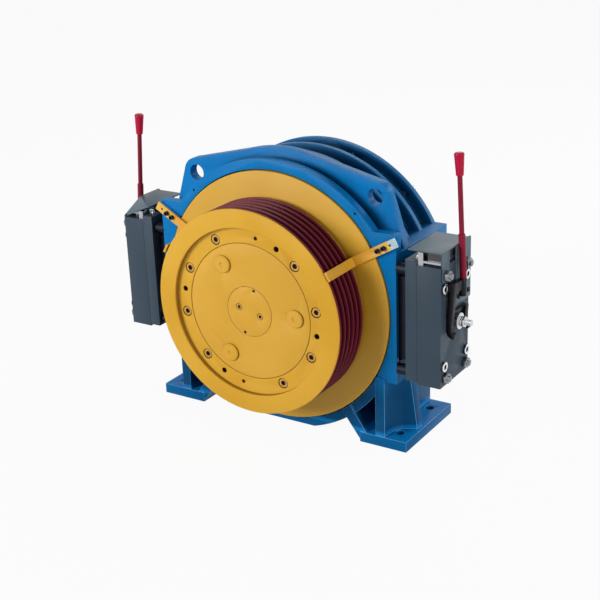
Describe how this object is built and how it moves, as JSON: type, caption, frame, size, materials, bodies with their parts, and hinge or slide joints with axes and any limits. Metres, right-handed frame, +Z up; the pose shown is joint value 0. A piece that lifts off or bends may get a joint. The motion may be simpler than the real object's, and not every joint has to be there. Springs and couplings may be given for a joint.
{
  "type": "gearless elevator traction machine",
  "caption": "Gearless elevator hoist machine: cast frame on bolt-down feet, outer rotor with a grooved rope sheave, block brakes on both sides and hand-release levers.",
  "frame": {"origin": "centre of the four holding-down bolt holes, on the underside of the feet", "axes": "+Z up; the rope sheave faces -Y and the shaft lies along Y; +X runs across the machine, towards the brake on the right seen from the sheave"},
  "size_m": [0.791, 0.3891, 0.584],
  "materials": {
    "blue_paint": "gloss enamel over casting",
    "ochre_paint": "satin enamel",
    "maroon_rim": "satin enamel in the grooves, ochre on the face",
    "bare_steel": "machined",
    "copper_wire": "enamelled copper wire",
    "zinc_plate": "bright zinc plate",
    "slate_paint": "satin enamel",
    "black_plastic": "matte",
    "black_steel": "black oxide",
    "friction_lining": "pressed friction material",
    "red_paint": "gloss enamel"
  },
  "bodies": {
    "machine": {"frame": "blue_paint", "foot_left": "blue_paint", "foot_right": "blue_paint", "stator_carrier": "blue_paint", "carrier_bolts": "bare_steel", "stator_core": "bare_steel", "stator_winding": "copper_wire", "main_bearing_outer": "bare_steel", "rear_bearing_outer": "bare_steel", "terminal_box": "blue_paint", "terminal_box_lid": "blue_paint", "cable_glands": "black_plastic", "encoder": "black_plastic", "encoder_cover": "black_plastic", "rope_guard_left": "ochre_paint", "rope_guard_right": "ochre_paint", "rope_guard_screws": "zinc_plate", "brake_bolts": "zinc_plate", "brake_spacers": "zinc_plate", "spring_plugs": "zinc_plate", "brake_coils": "copper_wire", "cover_screws": "black_plastic", "magnet_body_left": "slate_paint", "magnet_body_right": "slate_paint", "brake_springs": "bare_steel", "switch_cover_left": "slate_paint", "switch_cover_right": "slate_paint", "microswitches": "black_plastic"},
    "rotor": {"rotor": "ochre_paint", "magnets": "bare_steel", "sheave": "maroon_rim", "sheave_screws": "ochre_paint", "sheave_dowels": "bare_steel", "shaft": "bare_steel", "shaft_key": "bare_steel", "shaft_end_plate": "ochre_paint", "end_plate_screws": "ochre_paint", "hub_plugs": "ochre_paint", "main_bearing_inner": "bare_steel", "rear_bearing_inner": "bare_steel", "bearing_balls": "bare_steel", "shaft_locknut": "bare_steel"},
    "armature_left": {"armature_left": "slate_paint", "brake_shoe_left": "bare_steel", "brake_lining_left": "friction_lining", "release_stud_left": "zinc_plate", "stud_nuts_left": "zinc_plate", "switch_bracket_left": "zinc_plate"},
    "armature_right": {"armature_right": "slate_paint", "brake_shoe_right": "bare_steel", "brake_lining_right": "friction_lining", "release_stud_right": "zinc_plate", "stud_nuts_right": "zinc_plate", "switch_bracket_right": "zinc_plate"},
    "lever_left": {"release_yoke_left": "black_steel", "lever_rod_left": "red_paint", "lever_grip_left": "red_paint"},
    "lever_right": {"release_yoke_right": "black_steel", "lever_rod_right": "red_paint", "lever_grip_right": "red_paint"}
  },
  "joints": [
    {"name": "rotor_spin", "type": "hinge", "parent": "machine", "child": "rotor", "pos_m": [0, 0, 0.267], "axis": [0, 1, 0], "continuous": true},
    {"name": "left_lever_swing", "type": "hinge", "parent": "machine", "child": "lever_left", "pos_m": [-0.375, -0.0395, 0.257], "axis": [0, -1, 0], "range_deg": [0, 6], "stiffness_Nm_per_rad": 60},
    {"name": "right_lever_swing", "type": "hinge", "parent": "machine", "child": "lever_right", "pos_m": [0.375, -0.0395, 0.257], "axis": [0, 1, 0], "range_deg": [0, 6], "stiffness_Nm_per_rad": 60},
    {"name": "left_armature_slide", "type": "slide", "parent": "machine", "child": "armature_left", "axis": [-1, 0, 0], "range_m": [0, 0.0005]},
    {"name": "right_armature_slide", "type": "slide", "parent": "machine", "child": "armature_right", "axis": [1, 0, 0], "range_m": [0, 0.0005]}
  ],
  "couplings": [
    {"joint": "left_armature_slide", "follows": "left_lever_swing", "m_per_rad": 0.0047},
    {"joint": "right_armature_slide", "follows": "right_lever_swing", "m_per_rad": 0.0047}
  ]
}
